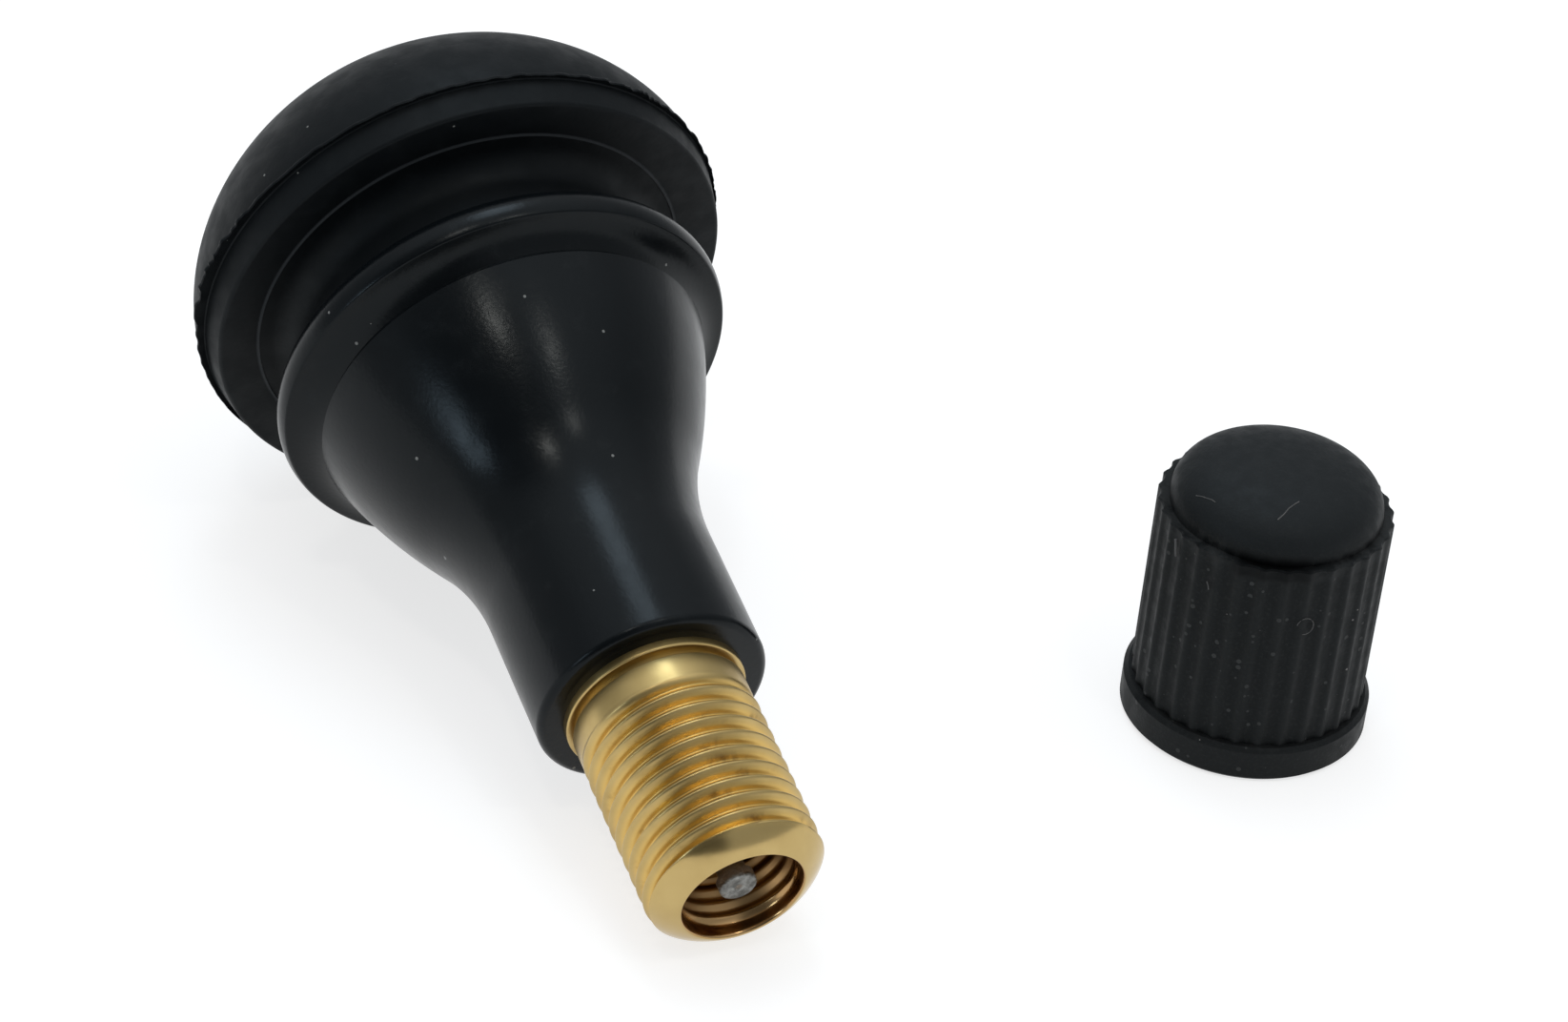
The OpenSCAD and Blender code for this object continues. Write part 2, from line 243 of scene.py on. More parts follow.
SPRING_D = 5.65
SPRING_R = 0.85
WIRE_R = 0.1
SPRING_TURNS = 7
CUP_WASHER_D = 14.56
CUP_WASHER_END_D = 15.31
CUP_D = 14.76
CUP_END_D = 15.91
CUP_R = 1.5
CUP_HOLLOW_R = 1.3
RIVET_R = 0.8
PRESSED_EDGE = 0.15
CORE_EDGE = 0.06
SOFT_EDGE = 0.08
PIN_END_D = 16.21
SEAT_END_D = 11.56
CHAMBER_D = 9.01
CORE_THREAD_END_D = 8.66

# Cap
CAP_H = 13.1
LEDGE_H = 10.9
CAP_BAND_R = 5.42
CAP_BAND_H = 1.7
CAP_BAND_EDGE = 0.2
CAP_R = 4.85
RIB_COUNT = 32
RIB_R = 0.25
RIB_POWER = 1.8
RIB_TOP_H = 0.08
RIB_TOP_R = 0.06
CAP_DOME_R = 4.6
CAP_DOME_POWER = 2.5
LEDGE_GAP = 0.1
CREASE_AT = -95
CREASE_SPAN = 0.5
# Where the ledge's edge gets a patch of painted shade; the gap under the dome is deeper there too
SHADE_PATCH_AT = -30
SHADE_PATCH_SPAN = 0.35
CAP_BORE_H = 10
CAP_BORE_EDGE_H = 0.5
CAP_BORE_STEP = 0.06
BORE_RELIEF = 0.2
BORE_START = 0.9
CAP_BORE_THREAD_D = 0.32
CAP_HOLLOW_R = 3.3
CAP_HOLLOW_EDGE = 0.3
CAP_TOP_T = 1.4
RUBBED_FROM = 0.1
HANDLED_FADE = 0.2
DOME_FADE = 0.9
SCUFF_FULL = 0.3
SCUFF_END = 0.7

# Fibres and a flake on the cap, each a thickness and its places as (angle, height)
FIBRES = [
    (0.03, [(-30.9, 12.51), (-27, 12.64), (-22.9, 12.76), (-17, 12.83), (-13.2, 12.86)]),
    (0.022, [(-89, 12.16), (-85, 12.27), (-82.7, 12.3), (-78, 12.37), (-74.7, 12.37)]),
    (0.06, [(-83.5, 10.45), (-82.6, 10.2), (-82.1, 9.95), (-81.2, 9.7)]),
    (0.03, [(-60.5, 9.45), (-59.6, 9.3), (-58.9, 9.1)]),
]
FIBRE_SIDES = 5
FIBRE_LIFT = 0.6

# One more fibre on the cap, curled into a flat loop
LOOP_THICK = 0.02
LOOP_AT = (-9.5, 8.1)
LOOP_HALF = (4.2, 0.42)
LOOP_TURN = (-100, 170)
LOOP_POINTS = 16

# How finely round shapes are divided
BODY_COLUMNS = 600
STEM_COLUMNS = 180
PLUG_COLUMNS = 144
RIB_COLUMNS = 16
DOME_POINTS = 32
FLANK_POINTS = 12
NOSE_POINTS = 25
CAP_DOME_POINTS = 28

# Colours
RUBBER_BLACK = (0.0017, 0.0025, 0.0032, 1)
RUBBER_GREY = (0.0030, 0.0041, 0.0050, 1)
RUBBER_WORN = (0.016, 0.018, 0.019, 1)
RUBBER_DUST = (0.20, 0.20, 0.19, 1)
SEAL_LINE_HIGHLIGHT = (0.017, 0.019, 0.021, 1)
BRASS_PALE = (0.55, 0.41, 0.175, 1)
BRASS_DARK = (0.44, 0.31, 0.12, 1)
# Painted bounce light: the thread roots get a brighter, more golden brass than the crests
BRASS_ROOT_BOUNCE = (0.66, 0.44, 0.135, 1)
BRASS_STAIN = (0.22, 0.135, 0.055, 1)
BRASS_MOUTH_SHADE = (0.42, 0.26, 0.115, 1)
CORE_GOLD = (0.62, 0.42, 0.14, 1)
CORE_BROWN = (0.36, 0.22, 0.07, 1)
STEEL_DARK = (0.10, 0.10, 0.092, 1)
STEEL_PALE = (0.36, 0.36, 0.34, 1)
STEEL_SIDE = (0.26, 0.22, 0.18, 1)
SEAL_BLACK = (0.012, 0.011, 0.011, 1)
SEAL_GREY = (0.028, 0.025, 0.024, 1)
CAP_BLACK = (0.0036, 0.0042, 0.0044, 1)
CAP_GREY = (0.0060, 0.0068, 0.0070, 1)
CAP_WORN = (0.019, 0.020, 0.0195, 1)
CAP_GRAIN = (0.026, 0.027, 0.0265, 1)
CAP_RUBBED = (0.024, 0.025, 0.025, 1)
CAP_FILM = (0.042, 0.043, 0.042, 1)
CAP_DUST = (0.20, 0.19, 0.18, 1)
CAP_DOME_DUST_AND_LIGHT = (0.0150, 0.0168, 0.0178, 1)
CAP_SCUFF = (0.026, 0.027, 0.027, 1)
CAP_PAINTED_SHADE = (0.0016, 0.0017, 0.0018, 1)
LINT_DARK = (0.06, 0.06, 0.06, 1)
LINT_PALE = (0.16, 0.155, 0.15, 1)
BLUE_SHINE = (0.90, 0.97, 1.0, 1)
FLOOR_WHITE = (0.93, 0.93, 0.93, 1)
FLOOR_SEEN = (0.42, 0.42, 0.42, 1)
SKY_PALE = (0.92, 0.96, 1.0, 1)
SKY_DARK = (0.24, 0.25, 0.26, 1)
COOL_LIGHT = (0.74, 0.88, 1.0)
WARM_LIGHT = (1.0, 0.95, 0.88)
BLUE_LIGHT = (0.70, 0.86, 1.0)

# Share that each finer layer of a noise keeps
NOISE_ROUGH = 0.55

# Range in which most values of a noise lie, and how rough each finish is over it
MIDDLE = (0.3, 0.7)
DOME_ROUGH = (0.50, 0.62)
CONE_ROUGH = (0.21, 0.27)
BRASS_ROUGH = (0.28, 0.42)
CORE_ROUGH = (0.30, 0.46)
STEEL_ROUGH = (0.42, 0.58)
SEAL_ROUGH = (0.42, 0.58)
CAP_ROUGH = (0.46, 0.62)
LINT_ROUGH = (0.7, 0.9)

# Heights that follow from those
LIP_Z = HEAD_H + LIP_H
SEAL_Z = LIP_Z + LIP_ROUND - DISH
NECK_END_Z = SEAL_Z + GROOVE_W
RIM_Z = SEAL_Z + GROOVE_W / 2
RIDGE_Z = NECK_END_Z + RIDGE_RISE + RIDGE_ROUND
CONE_Z = RIDGE_Z + RIDGE_ROUND + 2 * STEP_D
COLLAR_Z = VALVE_LEN - STEM_OUT
RING_Z = COLLAR_Z + RING_OUT
BAND_Z = RING_Z + ROOT_W
THREAD_Z = BAND_Z + BAND_W
NOSE_Z = VALVE_LEN - NOSE_H

# Where the two things lie
lying = Matrix((SIDE.cross(AXIS), SIDE, AXIS)).transposed().to_4x4()
lying.translation = -RIM_Z * MM * AXIS
standing = Matrix.Translation((cap_mount["pos_m"][0], cap_mount["pos_m"][1], FLOOR_Z))


# Mesh helpers

def arc(centre, radius, start, end, steps=8):
    """Points on a round stretch about a centre, between two angles in degrees."""
    turns = np.radians(np.linspace(start, end, steps + 1))
    return [(centre[0] + radius * math.cos(t), centre[1] + radius * math.sin(t)) for t in turns]


def angles_of(columns):
    """Angles of the columns of a turned skin."""
    return np.linspace(0, 2 * math.pi, columns, endpoint=False)


def smooth(share):
    """Soft step from 0 to 1."""
    share = np.clip(share, 0, 1)
    return share * share * (3 - 2 * share)


def stretch(values, start, width):
    """Values with more contrast: 0 up to a start and 1 from a width past it."""
    return smooth((values - start) / width)


def hump(angles, middle, span):
    """Rounded rise to 1 about an angle in degrees, falling off over a span in radians."""
    return np.exp(-((angles - math.radians(middle)) / span) ** 2)


def ragged(angles, seed, slow, fast):
    """Seamless noise round a ring, from 0 to 1, made of waves with random heights and phases."""
    draw = random.Random(seed)
    total = np.zeros_like(angles)
    for waves in range(slow, fast):
        total += draw.random() * np.cos(waves * angles + draw.uniform(0, 2 * math.pi))
    return (total - total.min()) / (total.max() - total.min())


def make_object(name, points, faces, sharp=30):
    """Mesh object from points in millimetres, smooth but for edges over an angle in degrees."""
    mesh = bpy.data.meshes.new(name)
    mesh.from_pydata([tuple(p) for p in np.asarray(points) * MM], [], faces)
    mesh.validate()
    mesh.shade_smooth()
    mesh.set_sharp_from_angle(angle=math.radians(sharp))
    made = bpy.data.objects.new(name, mesh)
    bpy.context.scene.collection.objects.link(made)
    return made


def turned(name, rows, columns, sharp=30):
    """Skin through rows of (radius, height), each one number or one value per column.

    Rows go up on the outside. A radius of 0 is a point on the axis, and rows without one close on
    themselves.
    """
    angles = angles_of(columns)
    points = []
    rings = []
    for radius, height in rows:
        start = len(points)
        if np.ndim(radius) == 0 and radius == 0:
            points.append((0, 0, height))
            rings.append([start] * columns)
            continue
        radius = np.broadcast_to(radius, columns)
        height = np.broadcast_to(height, columns)
        points.extend(zip(radius * np.cos(angles), radius * np.sin(angles), height))
        rings.append(list(range(start, start + columns)))
    pairs = list(zip(rings, rings[1:]))
    if len(points) == len(rows) * columns:
        pairs.append((rings[-1], rings[0]))
    faces = []
    for low, high in pairs:
        for k in range(columns):
            nxt = (k + 1) % columns
            corners = (low[k], low[nxt], high[nxt], high[k])
            faces.append(tuple(dict.fromkeys(corners)))
    return make_object(name, points, faces, sharp)


def in_mouth(rows):
    """Rows drawn by depth below the mouth, as heights of the valve."""
    return [(radius, VALVE_LEN - depth) for radius, depth in rows]


def thread_wave(heights, angles, pitch, phase):
    """Right-handed thread form, a smooth wave from 0 at its round crest to 1 at its round root."""
    turn = 2 * math.pi * ((heights - pitch * angles / (2 * math.pi)) / pitch + phase - 0.5)
    return 0.5 - (np.cos(turn) + np.cos(3 * turn) / 10) / 2.2


def place(made, where, body, node, paint):
    """Puts a piece where its node lies, on that node's body, with a finish."""
    made.data.materials.append(paint)
    made.matrix_world = where
    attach(made, body)
    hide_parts(node)
    return made


# Shader helpers

def start_material(name):
    """New material with its node tree and its main shader."""
    paint = bpy.data.materials.new(name)
    paint.use_nodes = True
    tree = paint.node_tree
    return paint, tree, tree.nodes["Principled BSDF"]


def feed(tree, socket, value):
    """Links a socket to another, or sets its value."""
    if isinstance(value, bpy.types.NodeSocket):
        tree.links.new(value, socket)
    else:
        socket.default_value = value


def add(tree, kind, inputs=None, **settings):
    """New node with its settings, and its inputs by name or number."""
    made = tree.nodes.new(kind)
    for name, value in settings.items():
        setattr(made, name, value)
    for name, value in (inputs or {}).items():
        feed(tree, made.inputs[name], value)
    return made


def local_point(tree):
    """Point on the piece in its own axes, in metres."""
    return add(tree, "ShaderNodeTexCoord").outputs["Object"]


def noise(tree, point, scale, detail=4.0):
    """Noise from 0 to 1."""
    made = add(tree, "ShaderNodeTexNoise",
               {"Vector": point, "Scale": scale, "Detail": detail, "Roughness": NOISE_ROUGH})
    return made.outputs["Fac"]


def maths(tree, operation, first, second=0.0):
    """Sum, product or other result of two values."""
    return add(tree, "ShaderNodeMath", {0: first, 1: second}, operation=operation).outputs[0]


def spread(tree, value, low, high, to_low=0.0, to_high=1.0):
    """Value carried from one range to another, kept inside it."""
    made = add(tree, "ShaderNodeMapRange",
               {"Value": value, "From Min": low, "From Max": high, "To Min": to_low, "To Max": to_high},
               interpolation_type="SMOOTHSTEP")
    return made.outputs["Result"]


def blend_colours(tree, share, first, second):
    """Colour between two, by a share from 0 to 1."""
    made = add(tree, "ShaderNodeMix", data_type="RGBA")
    feed(tree, made.inputs[0], share)
    feed(tree, made.inputs[6], first)
    feed(tree, made.inputs[7], second)
    return made.outputs[2]


def specks(tree, point, scale, size, share):
    """Small spots of dust: 1 on a spot and 0 beside it. Size and share are parts of a cell."""
    cells = add(tree, "ShaderNodeTexVoronoi", {"Vector": point, "Scale": scale, "Randomness": 1.0})
    random_parts = add(tree, "ShaderNodeSeparateColor", {"Color": cells.outputs["Color"]})
    reach = maths(tree, "MULTIPLY", random_parts.outputs["Green"], size)
    near = maths(tree, "LESS_THAN", cells.outputs["Distance"], reach)
    kept = maths(tree, "LESS_THAN", random_parts.outputs["Red"], share)
    return maths(tree, "MULTIPLY", near, kept)


def bump(tree, height, strength, distance):
    """Normal of a surface with a fine relief, its depth in metres."""
    made = add(tree, "ShaderNodeBump", {"Height": height, "Strength": strength, "Distance": distance})
    return made.outputs["Normal"]


def from_axis(tree, point):
    """Distance from the piece's axis and height along it, in metres."""
    parts = add(tree, "ShaderNodeSeparateXYZ", {"Vector": point})
    flat = add(tree, "ShaderNodeCombineXYZ", {"X": parts.outputs["X"], "Y": parts.outputs["Y"]})
    reach = add(tree, "ShaderNodeVectorMath", {0: flat.outputs[0]}, operation="LENGTH")
    return reach.outputs["Value"], parts.outputs["Z"]


def faces_way(tree, point, angle):
    """Cosine of how far a point lies round its axis from an angle in degrees."""
    parts = add(tree, "ShaderNodeSeparateXYZ", {"Vector": point})
    reach = from_axis(tree, point)[0]
    across = maths(tree, "MULTIPLY", parts.outputs["X"], math.cos(math.radians(angle)))
    along = maths(tree, "MULTIPLY", parts.outputs["Y"], math.sin(math.radians(angle)))
    return maths(tree, "DIVIDE", maths(tree, "ADD", across, along), reach)


def ring_marks(tree, reach, height, scale):
    """Fine noise that runs round the axis, as a turning tool leaves it."""
    along = add(tree, "ShaderNodeCombineXYZ", {"X": reach, "Z": height})
    return noise(tree, along.outputs[0], scale, detail=2.0)


# Materials

def rubber_paint():
    """Near-black rubber: matt on the head, satin on the cone, with a little dust and a painted highlight
    on the seal line.
    """
    paint, tree, shader = start_material("moulded_rubber")
    point = local_point(tree)
    reach, height = from_axis(tree, point)
    satin = spread(tree, height, SATIN_FROM_Z * MM, SATIN_FULL_Z * MM)
    # Paler grey on the seal line's outer slope: a painted highlight
    line_middle = (SEAL_LINE_R + SEAL_LINE_H) * MM
    off_line = maths(tree, "ABSOLUTE", maths(tree, "SUBTRACT", reach, line_middle))
    line_end = SEAL_LINE_SLOPE * SEAL_LINE_H * MM
    line = spread(tree, off_line, SEAL_LINE_H * MM, line_end, to_low=1.0, to_high=0.0)
    below_top = maths(tree, "LESS_THAN", height, (FACE_Z + SEAL_LINE_ABOVE) * MM)
    above_foot = maths(tree, "GREATER_THAN", height, (FACE_Z - SEAL_LINE_BELOW) * MM)
    line = maths(tree, "MULTIPLY", line, maths(tree, "MULTIPLY", below_top, above_foot))
    patches = noise(tree, point, scale=260)
    smears = noise(tree, point, scale=900, detail=6.0)
    grain = noise(tree, point, scale=5200, detail=3.0)
    black = blend_colours(tree, patches, RUBBER_BLACK, RUBBER_GREY)
    wear = spread(tree, smears, low=0.55, high=0.85, to_high=0.3)
    worn = blend_colours(tree, wear, black, RUBBER_WORN)
    seal_highlit = blend_colours(tree, line, worn, SEAL_LINE_HIGHLIGHT)
    dust = specks(tree, point, scale=1100, size=0.12, share=0.16)
    feed(tree, shader.inputs["Base Color"], blend_colours(tree, dust, seal_highlit, RUBBER_DUST))
    matt_rough = spread(tree, smears, *MIDDLE, *DOME_ROUGH)
    satin_rough = spread(tree, smears, *MIDDLE, *CONE_ROUGH)
    rough = add(tree, "ShaderNodeMix", {0: satin, 2: matt_rough, 3: satin_rough})
    feed(tree, shader.inputs["Roughness"], rough.outputs[0])
    shader.inputs["Specular IOR Level"].default_value = 0.165
    shader.inputs["Specular Tint"].default_value = BLUE_SHINE
    relief = maths(tree, "ADD", maths(tree, "MULTIPLY", smears, 0.4), grain)
    feed(tree, shader.inputs["Normal"], bump(tree, relief, strength=0.3, distance=0.00002))
    return paint


def brass_paint():
    """Turned brass: pale crests, roots painted golden as bounce light, brown stains, mouth painted brown
    as shade, shiny nose.
    """
    paint, tree, shader = start_material("turned_brass")
    point = local_point(tree)
    reach, height = from_axis(tree, point)
    marks = ring_marks(tree, reach, height, scale=9000)
    stains = noise(tree, point, scale=700, detail=5.0)
    nose_start = NOSE_Z * MM
    nose_full = (NOSE_Z + NOSE_BLEND) * MM
    past_band = spread(tree, height, BAND_Z * MM, THREAD_Z * MM)
    before_nose = spread(tree, height, nose_start, nose_full, to_low=1.0, to_high=0.0)
    threaded = maths(tree, "MULTIPLY", past_band, before_nose)
    deep = spread(tree, reach, ROOT_R * MM, BAND_R * MM, to_low=1.0, to_high=0.0)
    root = maths(tree, "MULTIPLY", deep, threaded)
    # Inside the bore the brass is painted a darker brown: painted shade in the mouth
    inside = spread(tree, reach, BROWN_FROM_R * MM, BROWN_FULL_R * MM)
    bright = blend_colours(tree, stains, BRASS_PALE, BRASS_DARK)
    # Thread roots painted brighter and more golden than the crests: painted bounce light in the grooves
    root_bounce_lit = blend_colours(tree, root, bright, BRASS_ROOT_BOUNCE)
    tarnish = maths(tree, "MULTIPLY", spread(tree, stains, low=0.56, high=0.75), root)
    stained = blend_colours(tree, tarnish, root_bounce_lit, BRASS_STAIN)
    feed(tree, shader.inputs["Base Color"], blend_colours(tree, inside, stained, BRASS_MOUTH_SHADE))
    shader.inputs["Metallic"].default_value = 1.0
    rough, rougher = BRASS_ROUGH
    dull = spread(tree, stains, low=0.25, high=0.8, to_low=rough, to_high=rougher)
    polish = spread(tree, height, nose_start, nose_full, to_low=1.0, to_high=0.5)
    feed(tree, shader.inputs["Roughness"], maths(tree, "MULTIPLY", dull, polish))
    feed(tree, shader.inputs["Normal"], bump(tree, marks, strength=0.2, distance=0.000005))
    return paint


def core_brass_paint():
    """Dull brass of the core."""
    paint, tree, shader = start_material("dull_brass")
    point = local_point(tree)
    reach, height = from_axis(tree, point)
    marks = ring_marks(tree, reach, height, scale=8000)
    stains = noise(tree, point, scale=1100, detail=5.0)
    feed(tree, shader.inputs["Base Color"], blend_colours(tree, stains, CORE_GOLD, CORE_BROWN))
    shader.inputs["Metallic"].default_value = 1.0
    feed(tree, shader.inputs["Roughness"], spread(tree, stains, *MIDDLE, *CORE_ROUGH))
    feed(tree, shader.inputs["Normal"], bump(tree, marks, strength=0.3, distance=0.00002))
    return paint


def steel_paint():
    """Dull steel of the pin and its spring, palest on the pin's end, with painted shade in its dimple."""
    paint, tree, shader = start_material("dull_steel")
    point = local_point(tree)
    reach, height = from_axis(tree, point)
    stains = spread(tree, noise(tree, point, scale=2600, detail=5.0), *MIDDLE)
    pale = blend_colours(tree, stains, STEEL_DARK, STEEL_PALE)
    end_z = VALVE_LEN - PIN_D
    end_face = spread(tree, height, (end_z - END_FACE_FROM) * MM, (end_z - END_FACE_FULL) * MM)
    # Inside the dimple the end face keeps the darker side colour: painted shade
    past_dimple = spread(tree, reach, DIMPLE_D * MM, 2 * DIMPLE_D * MM)
    end_face = maths(tree, "MULTIPLY", end_face, past_dimple)
    feed(tree, shader.inputs["Base Color"], blend_colours(tree, end_face, STEEL_SIDE, pale))
    shader.inputs["Metallic"].default_value = 0.75
    feed(tree, shader.inputs["Roughness"], spread(tree, stains, *MIDDLE, *STEEL_ROUGH))
    feed(tree, shader.inputs["Normal"], bump(tree, stains, strength=0.8, distance=0.00008))
    return paint


def seal_paint():
    """Dark smooth rubber of the core's washers."""
    paint, tree, shader = start_material("seal_rubber")
    stains = noise(tree, local_point(tree), scale=1500)
    feed(tree, shader.inputs["Base Color"], blend_colours(tree, stains, SEAL_BLACK, SEAL_GREY))
    feed(tree, shader.inputs["Roughness"], spread(tree, stains, *MIDDLE, *SEAL_ROUGH))
    feed(tree, shader.inputs["Normal"], bump(tree, stains, strength=0.3, distance=0.00003))
    return paint


def cap_paint():
    """Black moulded plastic: dusty ribs, a dome painted paler as dust and painted light, and a ledge
    scuffed but for one patch of painted shade.
    """
    paint, tree, shader = start_material("cap_plastic")
    point = local_point(tree)
    reach, height = from_axis(tree, point)
    patches = noise(tree, point, scale=420)
    smears = noise(tree, point, scale=1600, detail=6.0)
    grain = noise(tree, point, scale=7000, detail=3.0)
    black = blend_colours(tree, patches, CAP_BLACK, CAP_GREY)
    wear = spread(tree, smears, low=0.45, high=0.75, to_high=0.4)
    worn = blend_colours(tree, wear, black, CAP_WORN)
    grains = spread(tree, grain, low=0.5, high=0.7, to_high=0.35)
    worn = blend_colours(tree, grains, worn, CAP_GRAIN)
    crests = spread(tree, reach, (CAP_R + RUBBED_FROM) * MM, (CAP_R + RIB_R) * MM, to_high=0.6)
    rubbed = blend_colours(tree, maths(tree, "MULTIPLY", crests, smears), worn, CAP_RUBBED)
    handled_top = (LEDGE_H - HANDLED_FADE) * MM
    handled = spread(tree, height, handled_top, LEDGE_H * MM, to_low=1.0, to_high=0.12)
    film_specks = specks(tree, point, scale=2600, size=0.30, share=0.30)
    film = blend_colours(tree, maths(tree, "MULTIPLY", film_specks, handled), rubbed, CAP_FILM)
    dust_specks = specks(tree, point, scale=1500, size=0.13, share=0.12)
    dusty = blend_colours(tree, maths(tree, "MULTIPLY", dust_specks, handled), film, CAP_DUST)
    # Dome painted a paler grey: partly a dusty matt look, partly painted light on the top of the cap
    domed = spread(tree, height, LEDGE_H * MM, (LEDGE_H + DOME_FADE) * MM, to_high=0.75)
    dusty = blend_colours(tree, domed, dusty, CAP_DOME_DUST_AND_LIGHT)
    off_edge = maths(tree, "ABSOLUTE", maths(tree, "SUBTRACT", height, (LEDGE_H - LEDGE_GAP) * MM))
    at_edge = spread(tree, off_edge, SCUFF_FULL * MM, SCUFF_END * MM, to_low=1.0, to_high=0.0)
    # Dark patch on the ledge's edge, on the side towards the camera: painted shade
    shade_side = spread(tree, faces_way(tree, point, SHADE_PATCH_AT), low=0.90, high=0.97)
    painted_shade = maths(tree, "MULTIPLY", at_edge, shade_side)
    scuffs = maths(tree, "MULTIPLY", at_edge, spread(tree, smears, low=0.35, high=0.6, to_high=0.7))
    scuffed = blend_colours(tree, scuffs, dusty, CAP_SCUFF)
    feed(tree, shader.inputs["Base Color"], blend_colours(tree, painted_shade, scuffed, CAP_PAINTED_SHADE))
    feed(tree, shader.inputs["Roughness"], spread(tree, smears, *MIDDLE, *CAP_ROUGH))
    shader.inputs["Specular IOR Level"].default_value = 0.13
    shader.inputs["Specular Tint"].default_value = BLUE_SHINE
    relief = maths(tree, "ADD", maths(tree, "MULTIPLY", smears, 0.5), grain)
    feed(tree, shader.inputs["Normal"], bump(tree, relief, strength=0.35, distance=0.00003))
    return paint


def lint_paint():
    """Pale fibres of dust."""
    paint, tree, shader = start_material("lint")
    stains = noise(tree, local_point(tree), scale=3000, detail=3.0)
    feed(tree, shader.inputs["Base Color"], blend_colours(tree, stains, LINT_DARK, LINT_PALE))
    feed(tree, shader.inputs["Roughness"], spread(tree, stains, *MIDDLE, *LINT_ROUGH))
    shader.inputs["Specular IOR Level"].default_value = 0.2
    return paint


# Pieces

def dome_point(share):
    """Point on the domed base, where share 0 is the parting line."""
    return HEAD_R * (1 - share ** DOME_POWER) ** (1 / DOME_POWER), HEAD_H - share * DOME_FULL_H


def flank_rows():
    """The ridge's hollow front flank and the small step before the cone."""
    turn = math.radians(RIDGE_TURN)
    edge_r = RIDGE_R - RIDGE_ROUND + (RIDGE_ROUND - RIDGE_EDGE) * math.cos(turn)
    edge_z = RIDGE_Z + (RIDGE_ROUND - RIDGE_EDGE) * math.sin(turn)
    rows = arc((edge_r, edge_z), RIDGE_EDGE, RIDGE_TURN, FLANK_TURN, steps=6)[1:]
    top = np.array(rows[-1])
    foot = np.array((CONE_R - STEP_D, CONE_Z - STEP_D))
    across = foot - top
    inward = np.array((-across[1], across[0])) / np.hypot(*across)
    for share in np.linspace(0, 1, FLANK_POINTS)[1:]:
        dip = FLANK_DIP * 4 * share * (1 - share)
        rows.append(tuple(top + share * across + dip * inward))
    return rows + [(CONE_R - STEP_D, CONE_Z - STEP_EDGE), (CONE_R - STEP_EDGE, CONE_Z)]


def cone_rows():
    """The swelling cone and the hollow that leads to the collar, two arcs that meet at one lean."""
    lean = math.radians(CONE_LEAN)
    reach = CONE_SWELL + CONE_FILLET
    turn = math.acos((CONE_SWELL * math.cos(lean) + CONE_FILLET - CONE_R + COLLAR_R) / reach)
    swell = (CONE_R - CONE_SWELL * math.cos(lean), CONE_Z - CONE_SWELL * math.sin(lean))
    hollow = (swell[0] + reach * math.cos(turn), swell[1] + reach * math.sin(turn))
    turn = math.degrees(turn)
    rows = arc(swell, CONE_SWELL, CONE_LEAN + CONE_START, turn, steps=14)[:-1]
    return rows + arc(hollow, CONE_FILLET, 180 + turn, 180, steps=12)


def fin_share(angles):
    """How far the torn flash stands out round the head, as a share of its full width."""
    fine = stretch(ragged(angles, seed=3, slow=60, fast=220), start=0.35, width=0.3)
    coarse = stretch(ragged(angles, seed=4, slow=20, fast=90), start=0.25, width=0.5)
    patchy = stretch(ragged(angles, seed=8, slow=4, fast=16), start=0.3, width=0.4)
    torn = TORN_LEAST + TORN_COARSE * coarse + TORN_FINE * fine * patchy
    left = hump(angles, FIN_LEFT_AT, FIN_LEFT_SPAN)
    right = hump(angles, FIN_RIGHT_AT, FIN_RIGHT_SPAN)
    over = stretch(-np.cos(angles), start=-0.3, width=0.5)
    under = stretch(np.cos(angles), start=0.75, width=0.2)
    kept = FIN_LEAST + FIN_OVER * over + FIN_RIGHT * right + FIN_LEFT * left + FIN_UNDER * under
    return kept * torn


def head_rows(angles):
    """Flat base, dome, torn flash, lip and sealing face of the head, going up."""
    dome = [dome_point(share) for share in np.linspace(HEAD_H / DOME_FULL_H, 0, DOME_POINTS)]
    rows = [(AIR_R + BASE_ROUND, 0), (dome[0][0] - BASE_ROUND, 0)] + dome[1:]
    flash_r = HEAD_R + FLASH_W * fin_share(angles)
    flash_z = HEAD_H + FLASH_WAVE * (ragged(angles, seed=5, slow=9, fast=90) - 0.5)
    rows += [(flash_r - FLASH_BACK_EDGE, flash_z), (flash_r, flash_z + FLASH_T / 2)]
    rows += [(flash_r - FLASH_FRONT_EDGE, flash_z + FLASH_T)]
    lip_r = LIP_R + LIP_OFF * (1 + np.cos(angles - math.radians(LIP_OFF_AT)))
    rows += [(lip_r + LIP_FOOT, HEAD_H + LIP_FOOT), (lip_r, HEAD_H + 2 * LIP_FOOT)]
    edge_r = lip_r - (LIP_TOP - HEAD_H) * math.tan(math.radians(LIP_LEAN)) - LIP_EDGE
    rows += arc((edge_r, LIP_TOP - LIP_EDGE), LIP_EDGE, LIP_LEAN, 90)
    rows += [(SEAL_LINE_R + SEAL_LINE_SLOPE * SEAL_LINE_H, FACE_Z)]
    rows += [(SEAL_LINE_R, FACE_Z + SEAL_LINE_H)]
    rows += [(SEAL_LINE_R - SEAL_LINE_STEEP * SEAL_LINE_H, FACE_Z)]
    return rows


